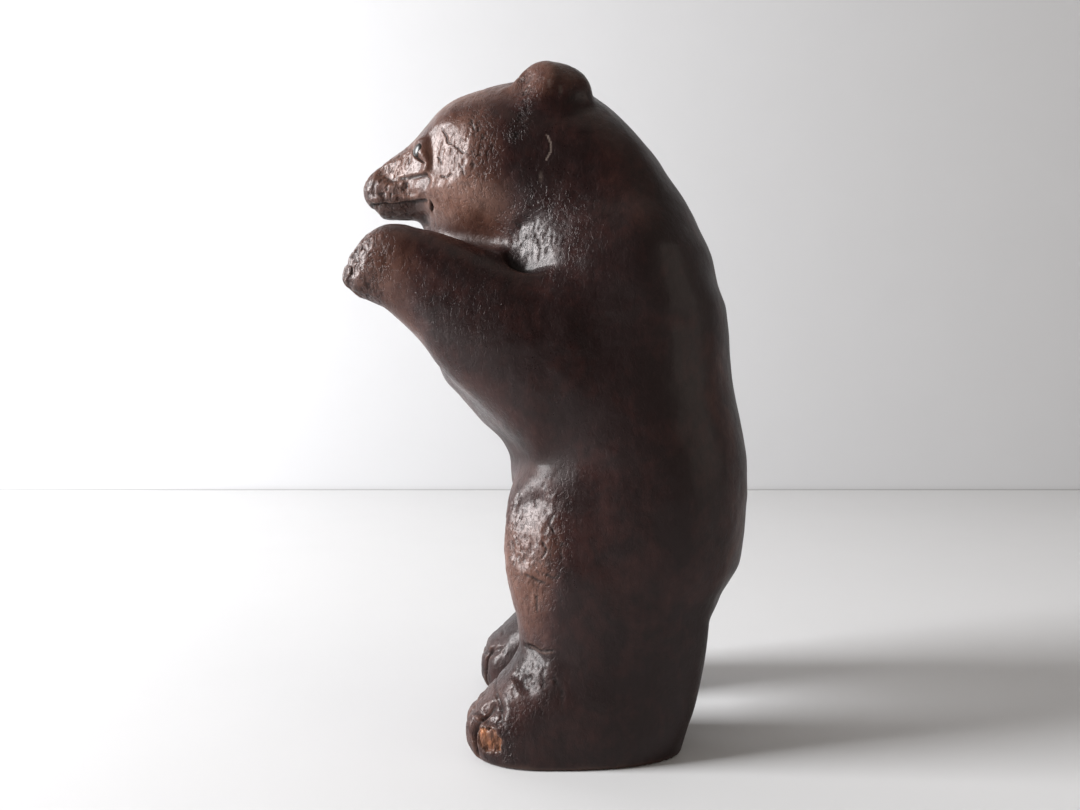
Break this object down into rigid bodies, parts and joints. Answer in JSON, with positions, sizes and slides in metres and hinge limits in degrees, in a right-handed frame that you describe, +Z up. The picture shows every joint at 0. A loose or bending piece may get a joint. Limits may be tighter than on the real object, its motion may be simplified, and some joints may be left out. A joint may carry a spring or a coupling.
{
  "type": "carved wooden bear figurine",
  "caption": "Carved, dark lacquered wooden bear standing upright on its hind legs, front paws raised to its mouth; stands on its flat soles.",
  "frame": {"origin": "on the ground plane, under the centre of the bounding box", "axes": "+Z up, the bear faces -Y, its left side is +X"},
  "size_m": [0.1124, 0.158, 0.2593],
  "materials": {
    "lacquered_wood": "dark brown glossy lacquer over hand-hewn wood, reddish where it is thin",
    "eye_glass": "black glass bead, polished",
    "dowel_wood": "plain turned hardwood"
  },
  "bodies": {
    "root": {"centre_board": "lacquered_wood", "left_board": "lacquered_wood", "right_board": "lacquered_wood", "left_eye": "eye_glass", "right_eye": "eye_glass", "upper_dowel": "dowel_wood", "lower_dowel": "dowel_wood"}
  },
  "joints": []
}
